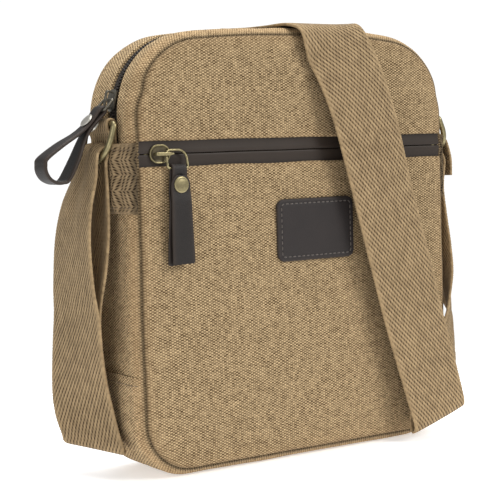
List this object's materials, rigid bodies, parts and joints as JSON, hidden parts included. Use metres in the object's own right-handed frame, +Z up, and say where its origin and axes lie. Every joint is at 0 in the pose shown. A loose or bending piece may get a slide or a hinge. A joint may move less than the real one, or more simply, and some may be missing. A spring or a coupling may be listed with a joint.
{
  "type": "messenger bag",
  "caption": "Small upright canvas crossbody bag with a zipped top, a zip pocket on the front, ring tabs on the sides and a wide webbing strap draped over it.",
  "frame": {"origin": "centre of the flat resting face under the bag", "axes": "+X to the right as seen from the front, front panel towards -Y, +Z up"},
  "size_m": [0.2519, 0.076, 0.2247],
  "materials": {
    "canvas": "washed heavy cotton canvas, khaki tan with darker flecks and worn seams",
    "webbing": "thick cotton webbing with a diagonal weave and knobbly edges",
    "coated_tape": "smooth coated zip tape, dark brown satin",
    "zip_tape": "woven zip tape, dark brown",
    "coil": "nylon coil, dark brown",
    "antique_brass": "antique brass plate, darker in the corners",
    "nickel": "worn nickel plate",
    "leather": "waxed dark brown leather with a fine grain",
    "thread": "dark brown sewing thread",
    "lining": "thin plain-weave polyester lining"
  },
  "bodies": {
    "bag": {"front_upper_panel": "canvas", "front_pocket_panel": "canvas", "back_panel": "canvas", "left_side_gusset": "canvas", "right_side_gusset": "canvas", "bottom_gusset": "canvas", "top_gusset_front": "canvas", "top_gusset_back": "canvas", "front_zip_tape_upper": "coated_tape", "front_zip_tape_lower": "coated_tape", "front_zip_teeth_upper": "coil", "front_zip_teeth_lower": "coil", "front_zip_stops": "antique_brass", "main_zip_tape_front": "zip_tape", "main_zip_tape_back": "zip_tape", "main_zip_teeth_front": "coil", "main_zip_teeth_back": "coil", "main_zip_stops": "antique_brass", "left_ring_tab": "webbing", "right_ring_tab": "webbing", "left_ring_loop": "webbing", "right_ring_loop": "webbing", "shoulder_strap": "webbing", "leather_patch": "leather", "patch_stitches": "thread", "main_lining": "lining", "front_pocket_lining": "lining"},
    "front_slider": {"front_zip_slider": "antique_brass"},
    "front_link": {"front_pull_ring": "antique_brass"},
    "front_pull": {"front_pull_leather": "leather", "front_pull_rivet": "antique_brass"},
    "main_slider": {"main_zip_slider": "nickel"},
    "main_link": {"main_pull_ring": "nickel"},
    "main_pull": {"main_pull_leather": "leather", "main_pull_rivet": "nickel"},
    "left_ring": {"left_ring": "antique_brass"},
    "right_ring": {"right_ring": "antique_brass"},
    "strap_slide": {"strap_adjuster": "antique_brass"}
  },
  "joints": [
    {"name": "front_zip", "type": "slide", "parent": "bag", "child": "front_slider", "axis": [1, 0, 0], "range_m": [0, 0.163]},
    {"name": "front_link_swing", "type": "hinge", "parent": "front_slider", "child": "front_link", "pos_m": [-0.0806, -0.02545, 0.1595], "axis": [0, -0.1994, -0.9799], "range_deg": [0, 85]},
    {"name": "front_pull_swing", "type": "hinge", "parent": "front_link", "child": "front_pull", "pos_m": [-0.075, -0.02687, 0.15254], "axis": [-1, 0, 0], "range_deg": [0, 110]},
    {"name": "main_zip", "type": "hinge", "parent": "bag", "child": "main_slider", "pos_m": [-0.057, 0, 0.1771], "axis": [0, 1, 0], "range_deg": [0, 64]},
    {"name": "main_link_swing", "type": "hinge", "parent": "main_slider", "child": "main_link", "pos_m": [-0.09994, -0.005, 0.18623], "axis": [0, 1, 0], "range_deg": [-3, 80]},
    {"name": "main_pull_swing", "type": "hinge", "parent": "main_link", "child": "main_pull", "pos_m": [-0.10471, -0.005, 0.18111], "axis": [0, 1, 0], "range_deg": [-4, 60]},
    {"name": "left_ring_swing", "type": "hinge", "parent": "bag", "child": "left_ring", "pos_m": [-0.10185, 0, 0.1745], "axis": [0, 1, 0], "range_deg": [-3.5, 12], "stiffness_Nm_per_rad": 0.05, "deforming": ["shoulder_strap"]},
    {"name": "right_ring_swing", "type": "hinge", "parent": "bag", "child": "right_ring", "pos_m": [0.10185, 0, 0.1745], "axis": [0, -1, 0], "range_deg": [-11.5, 45], "stiffness_Nm_per_rad": 0.05, "deforming": ["shoulder_strap"]},
    {"name": "strap_adjust", "type": "slide", "parent": "bag", "child": "strap_slide", "axis": [0.5577, 0, 0.8301], "range_m": [-0.025, 0.03], "stiffness_N_per_m": 150, "deforming": ["shoulder_strap"]}
  ]
}
